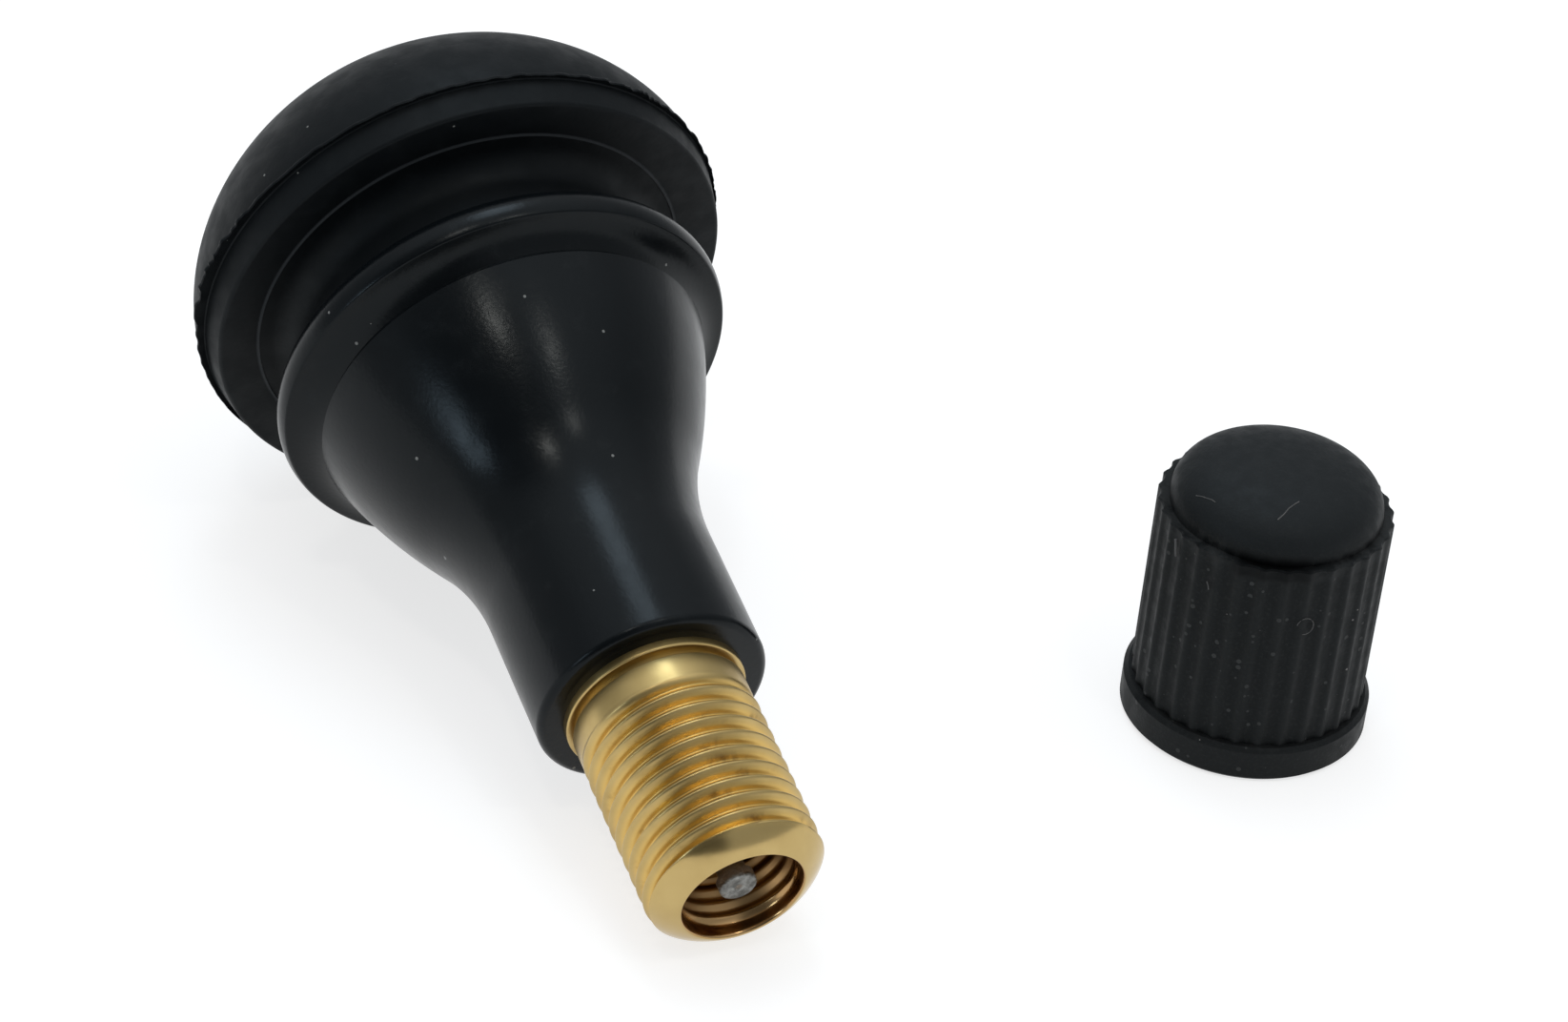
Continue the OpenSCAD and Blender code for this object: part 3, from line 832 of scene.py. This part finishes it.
def rubber_body():
    """One moulding: head with its torn flash, sealing lip, rim groove, ridge, cone and collar."""
    rows = head_rows(angles_of(BODY_COLUMNS))
    rows += arc((NECK_R + SEAL_ROUND, FACE_Z + SEAL_ROUND), SEAL_ROUND, 270, 180, steps=12)
    rows += arc((NECK_R + NECK_ROUND, NECK_END_Z - NECK_ROUND), NECK_ROUND, 180, 90)
    rows += arc((RIDGE_R - RIDGE_ROUND, RIDGE_Z), RIDGE_ROUND, -90, RIDGE_TURN, steps=16)
    rows += flank_rows()
    rows += cone_rows()
    rows += arc((COLLAR_R - COLLAR_EDGE, COLLAR_Z - COLLAR_EDGE), COLLAR_EDGE, 0, 90)
    rows += [(RING_R, COLLAR_Z), (RING_R, COLLAR_Z - RING_IN), (SHANK_R, COLLAR_Z - RING_IN)]
    rows += [(SHANK_R, FOOT_Z + ANCHOR_T), (ANCHOR_R, FOOT_Z + ANCHOR_T), (ANCHOR_R, FOOT_Z)]
    rows += [(AIR_R, FOOT_Z), (AIR_R, BASE_ROUND)]
    return turned("rubber_moulding", rows, BODY_COLUMNS)


def stem_outside(angles):
    """Foot, shank, ring, smooth band, cap thread and nose of the stem, going up."""
    rows = [(AIR_R, FOOT_Z), (ANCHOR_R, FOOT_Z), (ANCHOR_R, FOOT_Z + ANCHOR_T)]
    rows += [(SHANK_R, FOOT_Z + ANCHOR_T), (SHANK_R, COLLAR_Z - RING_IN), (RING_R, COLLAR_Z - RING_IN)]
    rows += arc((RING_R - RING_EDGE, RING_Z - RING_EDGE), RING_EDGE, 0, 90, steps=4)
    rows += [(ROOT_R, RING_Z), (ROOT_R, BAND_Z - ROOT_EDGE)]
    rows += arc((BAND_R - BAND_EDGE, BAND_Z + BAND_EDGE), BAND_EDGE, -90, 0, steps=4)
    for height in np.arange(THREAD_Z - BAND_OVERLAP, NOSE_Z, THREAD_STEP):
        grown = smooth((height - THREAD_Z) / CAP_PITCH)
        deep = CAP_THREAD_D * grown
        full_r = BAND_R + (THREAD_R - BAND_R) * grown
        wave = thread_wave(height, angles, CAP_PITCH, CAP_THREAD_PHASE)
        rows.append((full_r - deep * wave ** CREST_POWER, height))
    for turn in np.radians(np.linspace(0, 90, NOSE_POINTS)):
        nose_r = MOUTH_R + (THREAD_R - MOUTH_R) * abs(math.cos(turn)) ** NOSE_POWER
        height = NOSE_Z + NOSE_H * math.sin(turn) ** NOSE_POWER
        fade = smooth(1 - math.sin(turn) / NOSE_FADE)
        wave = thread_wave(height, angles, CAP_PITCH, CAP_THREAD_PHASE)
        rows.append((np.minimum(nose_r, THREAD_R - CAP_THREAD_D * fade * wave ** CREST_POWER), height))
    return rows


def stem_bore(angles):
    """Mouth, core thread, chamber, seat and air way of the stem, going down."""
    rows = [(CORE_BORE_R + MOUTH_EDGE, MOUTH_EDGE_D), (CORE_BORE_R, MOUTH_D)]
    for depth in np.arange(CORE_THREAD_START_D, CORE_THREAD_END_D, BORE_STEP):
        grown = smooth((depth - CORE_THREAD_START_D) / CORE_PITCH)
        grown *= smooth((CORE_THREAD_END_D - depth) / CORE_PITCH)
        wave = thread_wave(VALVE_LEN - depth, angles, CORE_PITCH, 0.0)
        rows.append((CORE_BORE_R - BORE_THREAD_D * grown * wave, depth))
    rows += [(CORE_BORE_R, CORE_THREAD_END_D), (CHAMBER_R, CHAMBER_D), (CHAMBER_R, SEAT_D)]
    rows += [(AIR_R, SEAT_END_D)]
    return in_mouth(rows)


def brass_stem():
    """Turned brass tube with its two threads."""
    angles = angles_of(STEM_COLUMNS)
    rows = stem_outside(angles) + stem_bore(angles)
    return turned("brass_stem_turned", rows, STEM_COLUMNS, sharp=70)


def core_plug():
    """Threaded plug with a bridge across its top, which has a hole for the pin."""
    angles = angles_of(PLUG_COLUMNS)
    flat_r = (BRIDGE_W / 2) / np.maximum(np.abs(np.sin(angles)), 1e-6)
    bridge_r = np.minimum(BRIDGE_R, flat_r)
    edge = PLUG_EDGE
    rows = [(BRIDGE_HOLE_R, HOLLOW_D), (BRIDGE_HOLE_R, PLUG_D + edge), (BRIDGE_HOLE_R + edge, PLUG_D)]
    rows += [(bridge_r - edge, PLUG_D), (bridge_r, PLUG_D + edge), (bridge_r, RING_D)]
    rows += [(PLUG_R - CORE_THREAD_D, RING_D)]
    for depth in np.arange(RING_D + PLUG_STEP, PLUG_END_D, PLUG_STEP):
        wave = thread_wave(VALVE_LEN - depth, angles, CORE_PITCH, 0.0)
        grown = smooth((depth - RING_D) / PLUG_RUN_OUT) * smooth((PLUG_END_D - depth) / PLUG_RUN_OUT)
        rows.append((PLUG_R - CORE_THREAD_D + CORE_THREAD_D * grown * (1 - wave), depth))
    rows += [(PLUG_R - CORE_THREAD_D, PLUG_END_D), (ROLL_R + edge, PLUG_END_D)]
    rows += [(ROLL_R, PLUG_END_D - edge), (ROLL_R, ROLL_D), (PLUG_HOLLOW_R, ROLL_D)]
    rows += [(PLUG_HOLLOW_R, HOLLOW_D)]
    return turned("core_plug_turned", in_mouth(rows)[::-1], PLUG_COLUMNS, sharp=40)


def core_barrel():
    """Tube with a flange, a shoulder, a rim and two bores."""
    edge = CORE_EDGE
    rows = [(SPRING_BORE_R, FLANGE_D), (BARREL_FLANGE_R - edge, FLANGE_D)]
    rows += [(BARREL_FLANGE_R, FLANGE_D + edge), (BARREL_FLANGE_R, FLANGE_END_D)]
    rows += [(BARREL_NECK_R, FLANGE_END_D), (BARREL_NECK_R, SHOULDER_D)]
    rows += [(SHOULDER_R - edge, SHOULDER_D), (SHOULDER_R, SHOULDER_D + edge), (SHOULDER_R, WASHER_D)]
    rows += [(WASHER_SEAT_R, WASHER_D), (WASHER_SEAT_R, RIM_D), (BARREL_RIM_R, RIM_D)]
    rows += [(BARREL_RIM_R, TUBE_D - edge), (BARREL_RIM_R - edge, TUBE_D), (TUBE_R, TUBE_D)]
    rows += [(TUBE_R, BARREL_END_D - edge), (TUBE_R - edge, BARREL_END_D)]
    rows += [(PIN_BORE_R + edge, BARREL_END_D), (PIN_BORE_R, BARREL_END_D - edge)]
    rows += [(PIN_BORE_R, SPRING_END_D), (SPRING_BORE_R, SPRING_END_D)]
    return turned("core_barrel_turned", in_mouth(rows)[::-1], columns=96)


def barrel_washer():
    """Tapered seal with rounded edges."""
    edge = SOFT_EDGE
    rows = [(WASHER_SEAT_R, WASHER_D), (WASHER_TOP_R - edge, WASHER_D)]
    rows += [(WASHER_TOP_R, WASHER_D + edge), (WASHER_END_R + edge / 2, RIM_D - edge)]
    rows += [(WASHER_END_R - edge / 2, RIM_D), (WASHER_SEAT_R, RIM_D)]
    return turned("barrel_washer_moulded", in_mouth(rows)[::-1], columns=96)


def core_pin():
    """Pin with a dimpled head, a collar for the spring and a riveted end."""
    edge = SOFT_EDGE
    rows = [(0, PIN_D + DIMPLE_D), (DIMPLE_D, PIN_D + DIMPLE_SLOPE * DIMPLE_D), (2 * DIMPLE_D, PIN_D)]
    rows += arc((PIN_HEAD_R - PIN_HEAD_EDGE, PIN_D + PIN_HEAD_EDGE), PIN_HEAD_EDGE, -90, 0, steps=6)
    rows += [(PIN_HEAD_R, PIN_D + PIN_HEAD_H - edge), (PIN_HEAD_R - edge, PIN_D + PIN_HEAD_H)]
    rows += [(PIN_R, PIN_D + PIN_HEAD_H), (PIN_R, PIN_COLLAR_D)]
    rows += [(PIN_COLLAR_R - edge, PIN_COLLAR_D), (PIN_COLLAR_R, PIN_COLLAR_D + edge)]
    rows += [(PIN_COLLAR_R, SPRING_D), (PIN_R, SPRING_D), (PIN_R, CUP_END_D), (RIVET_R, CUP_END_D)]
    rows += arc((RIVET_R - PRESSED_EDGE, PIN_END_D - PRESSED_EDGE), PRESSED_EDGE, 0, 90, steps=5)
    rows += [(0, PIN_END_D)]
    return turned("core_pin_drawn", in_mouth(rows)[::-1], columns=64)


def pin_cup():
    """Small cup riveted to the pin."""
    edge = CORE_EDGE
    rows = [(PIN_R, CUP_WASHER_END_D), (CUP_HOLLOW_R, CUP_WASHER_END_D), (CUP_HOLLOW_R, CUP_D + edge)]
    rows += [(CUP_HOLLOW_R + edge, CUP_D), (CUP_R - edge, CUP_D), (CUP_R, CUP_D + edge)]
    rows += arc((CUP_R - PRESSED_EDGE, CUP_END_D - PRESSED_EDGE), PRESSED_EDGE, 0, 90, steps=5)
    rows += [(PIN_R, CUP_END_D)]
    return turned("pin_cup_pressed", in_mouth(rows)[::-1], columns=80)


def cup_washer():
    """Rubber washer in the cup."""
    edge = CORE_EDGE
    rows = [(PIN_R, CUP_WASHER_D), (CUP_HOLLOW_R - edge, CUP_WASHER_D)]
    rows += [(CUP_HOLLOW_R, CUP_WASHER_D + edge), (CUP_HOLLOW_R, CUP_WASHER_END_D)]
    rows += [(PIN_R, CUP_WASHER_END_D)]
    return turned("cup_washer_moulded", in_mouth(rows)[::-1], columns=80)


def core_spring():
    """Round wire wound along a helix between the pin's collar and the barrel."""
    sides = 12
    turn_steps = 40
    rings = SPRING_TURNS * turn_steps
    start = SPRING_D + WIRE_R
    rise = SPRING_END_D - WIRE_R - start
    points = []
    for k in range(rings + 1):
        turn = 2 * math.pi * k / turn_steps
        for s in range(sides):
            round_wire = 2 * math.pi * s / sides
            reach = SPRING_R + WIRE_R * math.cos(round_wire)
            depth = start + rise * k / rings + WIRE_R * math.sin(round_wire)
            points.append((reach * math.cos(turn), -reach * math.sin(turn), VALVE_LEN - depth))
    faces = [tuple(reversed(range(sides)))]
    for k in range(rings):
        for s in range(sides):
            nxt = (s + 1) % sides
            low = k * sides
            high = low + sides
            faces.append((low + s, low + nxt, high + nxt, high + s))
    faces.append(tuple(range(rings * sides, (rings + 1) * sides)))
    return make_object("core_spring_wound", points, faces, sharp=60)


def cap_bore(angles):
    """Hollow and thread inside the cap, going down from under its dome."""
    top = CAP_H - CAP_TOP_T
    rows = [(0, top), (CAP_HOLLOW_R - CAP_HOLLOW_EDGE, top), (CAP_HOLLOW_R, top - CAP_HOLLOW_EDGE)]
    rows += [(CAP_HOLLOW_R, CAP_BORE_H), (CAP_BORE_R, CAP_BORE_H)]
    thread_top = CAP_BORE_H - BORE_RELIEF
    for height in np.arange(thread_top, BORE_START, -CAP_BORE_STEP):
        grown = smooth((thread_top - height) / CAP_PITCH) * smooth((height - BORE_START) / CAP_PITCH)
        wave = thread_wave(height, angles, CAP_PITCH, 0.0)
        rows.append((CAP_BORE_R - CAP_BORE_THREAD_D * grown * wave, height))
    return rows + [(CAP_BORE_R, CAP_BORE_EDGE_H), (CAP_BORE_R + CAP_BAND_EDGE, 0)]


def valve_cap():
    """Moulded cap: plain band, ribs, ledge and smooth dome, with a thread inside."""
    columns = RIB_COUNT * RIB_COLUMNS
    angles = angles_of(columns)
    ribs = ((1 + np.cos(RIB_COUNT * angles)) / 2) ** RIB_POWER
    ribbed_r = CAP_R + RIB_R * (0.5 + 0.5 * ribs)
    rows = cap_bore(angles) + [(CAP_BAND_R - CAP_BAND_EDGE, 0)]
    rows += [(CAP_BAND_R, CAP_BAND_EDGE), (CAP_BAND_R, CAP_BAND_H - CAP_BAND_EDGE)]
    rows += [(CAP_BAND_R - CAP_BAND_EDGE, CAP_BAND_H), (ribbed_r, CAP_BAND_H)]
    rows += [(ribbed_r, LEDGE_H - RIB_TOP_H), (ribbed_r - RIB_TOP_R, LEDGE_H)]
    crease = hump(angles, 360 + CREASE_AT, CREASE_SPAN)
    crease = np.maximum(crease, hump(angles, 360 + SHADE_PATCH_AT, SHADE_PATCH_SPAN))
    gap_z = LEDGE_H - LEDGE_GAP * crease
    rows += [(CAP_DOME_R + LEDGE_GAP, gap_z), (CAP_DOME_R, gap_z)]
    for turn in np.radians(np.linspace(0, 90, CAP_DOME_POINTS))[:-1]:
        reach = CAP_DOME_R * math.cos(turn) ** (2 / CAP_DOME_POWER)
        rows.append((reach, LEDGE_H + (CAP_H - LEDGE_H) * math.sin(turn) ** (2 / CAP_DOME_POWER)))
    rows += [(0, CAP_H)]
    return turned("cap_moulded", rows, columns)


def cap_reach(height):
    """Radius of the cap's outside at a height, over its rib crests."""
    if height < LEDGE_H:
        return CAP_R + RIB_R
    share = (height - LEDGE_H) / (CAP_H - LEDGE_H)
    return CAP_DOME_R * (1 - share ** CAP_DOME_POWER) ** (1 / CAP_DOME_POWER)


def fibre_along(way, thick, points, faces):
    """Adds a thin fibre along places on the cap, given as (angle in degrees, height)."""
    sides = FIBRE_SIDES
    places = []
    for angle, height in way:
        turn = math.radians(angle)
        reach = cap_reach(height) + FIBRE_LIFT * thick
        places.append(Vector((reach * math.cos(turn), reach * math.sin(turn), height)))
    first = len(points)
    for k, middle in enumerate(places):
        ahead = (places[min(k + 1, len(places) - 1)] - places[max(k - 1, 0)]).normalized()
        across = ahead.orthogonal().normalized()
        above = ahead.cross(across)
        for turn in angles_of(sides):
            points.append(middle + thick * (math.cos(turn) * across + math.sin(turn) * above))
    for k in range(len(places) - 1):
        for s in range(sides):
            low = first + k * sides
            nxt = (s + 1) % sides
            faces.append((low + s, low + nxt, low + sides + nxt, low + sides + s))
    faces.append(tuple(reversed(range(first, first + sides))))
    faces.append(tuple(range(len(points) - sides, len(points))))


def cap_lint():
    """Fibres and a flake that lie on the cap."""
    points = []
    faces = []
    loop = []
    for turn in np.radians(np.linspace(*LOOP_TURN, LOOP_POINTS)):
        across = LOOP_AT[0] + LOOP_HALF[0] * math.cos(turn)
        loop.append((across, LOOP_AT[1] + LOOP_HALF[1] * math.sin(turn)))
    for thick, way in FIBRES + [(LOOP_THICK, loop)]:
        fibre_along(way, thick, points, faces)
    return make_object("cap_lint", points, faces, sharp=60)


def build_pieces():
    """Every piece with its finish, on the body that it moves with."""
    rubber = rubber_paint()
    brass = brass_paint()
    dull = core_brass_paint()
    steel = steel_paint()
    seal = seal_paint()
    plastic = cap_paint()
    place(rubber_body(), lying, "valve", "rubber_body", rubber)
    place(brass_stem(), lying, "valve", "brass_stem", brass)
    place(core_plug(), lying, "plug", "core_plug", dull)
    place(core_barrel(), lying, "core", "core_barrel", dull)
    place(barrel_washer(), lying, "core", "barrel_washer", seal)
    place(core_pin(), lying, "pin", "core_pin", steel)
    place(pin_cup(), lying, "pin", "pin_cup", dull)
    place(cup_washer(), lying, "pin", "cup_washer", seal)
    place(valve_cap(), standing, "valve", "valve_cap", plastic)
    lint = cap_lint()
    lint.data.materials.append(lint_paint())
    lint.matrix_world = standing
    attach(lint, "valve")
    spring = place(core_spring(), lying, "core", "core_spring", steel)
    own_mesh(spring)


# Stage

PHOTO_W = 1645
FOCAL_PX = 5000
SENSOR_MM = 36
CAMERA_AT = Vector((164.11, -65.72, 114.09)) * MM
CAMERA_AZIMUTH = -26.41
CAMERA_HEIGHT = 34.84
CAMERA_ROLL = 5.79
LAMP_REACH = 0.6
LAMP_AIM = Vector((14, 6, -4)) * MM
FLOOR_HALF = 1.5
FLOOR_GLOW = 0.72
DARK_SIDE = (-48, 40)
DARK_SIDE_EDGE = (0.72, 0.93)
DARK_FRONT = (-26, 5)
DARK_FRONT_EDGE = (0.88, 0.95)
SKY_RISE = (0.45, 0.95)
SKY_STRENGTH = (0.52, 1.05)


def towards(azimuth, height):
    """Direction from an azimuth, counted from +X towards +Y, and a height above the floor, in degrees."""
    turn = math.radians(azimuth)
    rise = math.radians(height)
    return Vector((math.cos(rise) * math.cos(turn), math.cos(rise) * math.sin(turn), math.sin(rise)))


def add_camera():
    """Camera at the photograph's viewing angle."""
    data = bpy.data.cameras.new("camera")
    data.sensor_fit = "HORIZONTAL"
    data.sensor_width = SENSOR_MM
    data.lens = FOCAL_PX / PHOTO_W * SENSOR_MM
    data.clip_start = 0.001
    camera = bpy.data.objects.new("camera", data)
    bpy.context.scene.collection.objects.link(camera)
    back = towards(CAMERA_AZIMUTH, CAMERA_HEIGHT)
    level = Vector((0, 0, 1)).cross(back).normalized()
    upright = back.cross(level)
    roll = math.radians(CAMERA_ROLL)
    right = math.cos(roll) * level + math.sin(roll) * upright
    above = math.cos(roll) * upright - math.sin(roll) * level
    turn = Matrix((right, above, back)).transposed().to_4x4()
    camera.matrix_world = Matrix.Translation(CAMERA_AT) @ turn
    bpy.context.scene.camera = camera


def add_lamp(name, azimuth, height, wide, tall, power, colour):
    """Soft lamp at arm's length, aimed at the middle of the scene."""
    data = bpy.data.lights.new(name, "AREA")
    data.shape = "RECTANGLE"
    data.size = wide
    data.size_y = tall
    data.energy = power
    data.color = colour
    lamp = bpy.data.objects.new(name, data)
    bpy.context.scene.collection.objects.link(lamp)
    away = towards(azimuth, height)
    lamp.location = LAMP_AIM + LAMP_REACH * away
    lamp.rotation_euler = away.to_track_quat("Z", "Y").to_euler()


def add_floor():
    """Plain white floor."""
    half = FLOOR_HALF
    corners = [(-half, -half, 0), (half, -half, 0), (half, half, 0), (-half, half, 0)]
    mesh = bpy.data.meshes.new("floor")
    mesh.from_pydata(corners, [], [(0, 1, 2, 3)])
    floor = bpy.data.objects.new("floor", mesh)
    bpy.context.scene.collection.objects.link(floor)
    floor.location.z = cad_box[0][2]
    paint, tree, shader = start_material("floor_white")
    rays = add(tree, "ShaderNodeLightPath").outputs
    seen = maths(tree, "MAXIMUM", rays["Is Camera Ray"], rays["Is Glossy Ray"])
    seen = maths(tree, "MAXIMUM", seen, rays["Is Transmission Ray"])
    feed(tree, shader.inputs["Base Color"], blend_colours(tree, seen, FLOOR_WHITE, FLOOR_SEEN))
    shader.inputs["Emission Color"].default_value = (1, 1, 1, 1)
    feed(tree, shader.inputs["Emission Strength"], maths(tree, "MULTIPLY", seen, FLOOR_GLOW))
    shader.inputs["Roughness"].default_value = 0.9
    shader.inputs["Specular IOR Level"].default_value = 0.0
    mesh.materials.append(paint)


def dark_about(tree, way, middle, edge):
    """Share of darkness about a place in the surroundings, given as an azimuth and a height."""
    facing = add(tree, "ShaderNodeVectorMath", {0: way, 1: towards(*middle)}, operation="DOT_PRODUCT")
    return spread(tree, facing.outputs["Value"], *edge)


def add_world():
    """Pale surroundings, brighter overhead, with a dark side and a dark place low in front."""
    world = bpy.data.worlds.new("studio")
    bpy.context.scene.world = world
    world.use_nodes = True
    tree = world.node_tree
    background = tree.nodes["Background"]
    way = add(tree, "ShaderNodeTexCoord").outputs["Generated"]
    dark_side = dark_about(tree, way, DARK_SIDE, DARK_SIDE_EDGE)
    dark_front = dark_about(tree, way, DARK_FRONT, DARK_FRONT_EDGE)
    dark = maths(tree, "MAXIMUM", dark_side, dark_front)
    feed(tree, background.inputs["Color"], blend_colours(tree, dark, SKY_PALE, SKY_DARK))
    rise = add(tree, "ShaderNodeSeparateXYZ", {"Vector": way}).outputs["Z"]
    feed(tree, background.inputs["Strength"], spread(tree, rise, *SKY_RISE, *SKY_STRENGTH))


bpy.context.scene.view_settings.view_transform = "Standard"
build_pieces()
add_camera()
add_floor()
add_world()
add_lamp("overhead", azimuth=172, height=67, wide=0.17, tall=0.30, power=0.60, colour=COOL_LIGHT)
add_lamp("lamp_left", azimuth=-52, height=68, wide=0.055, tall=0.055, power=0.22, colour=WARM_LIGHT)
add_lamp("lamp_right", azimuth=20, height=68, wide=0.045, tall=0.045, power=0.13, colour=WARM_LIGHT)
add_lamp("window", azimuth=-73, height=19, wide=0.10, tall=0.14, power=0.27, colour=BLUE_LIGHT)
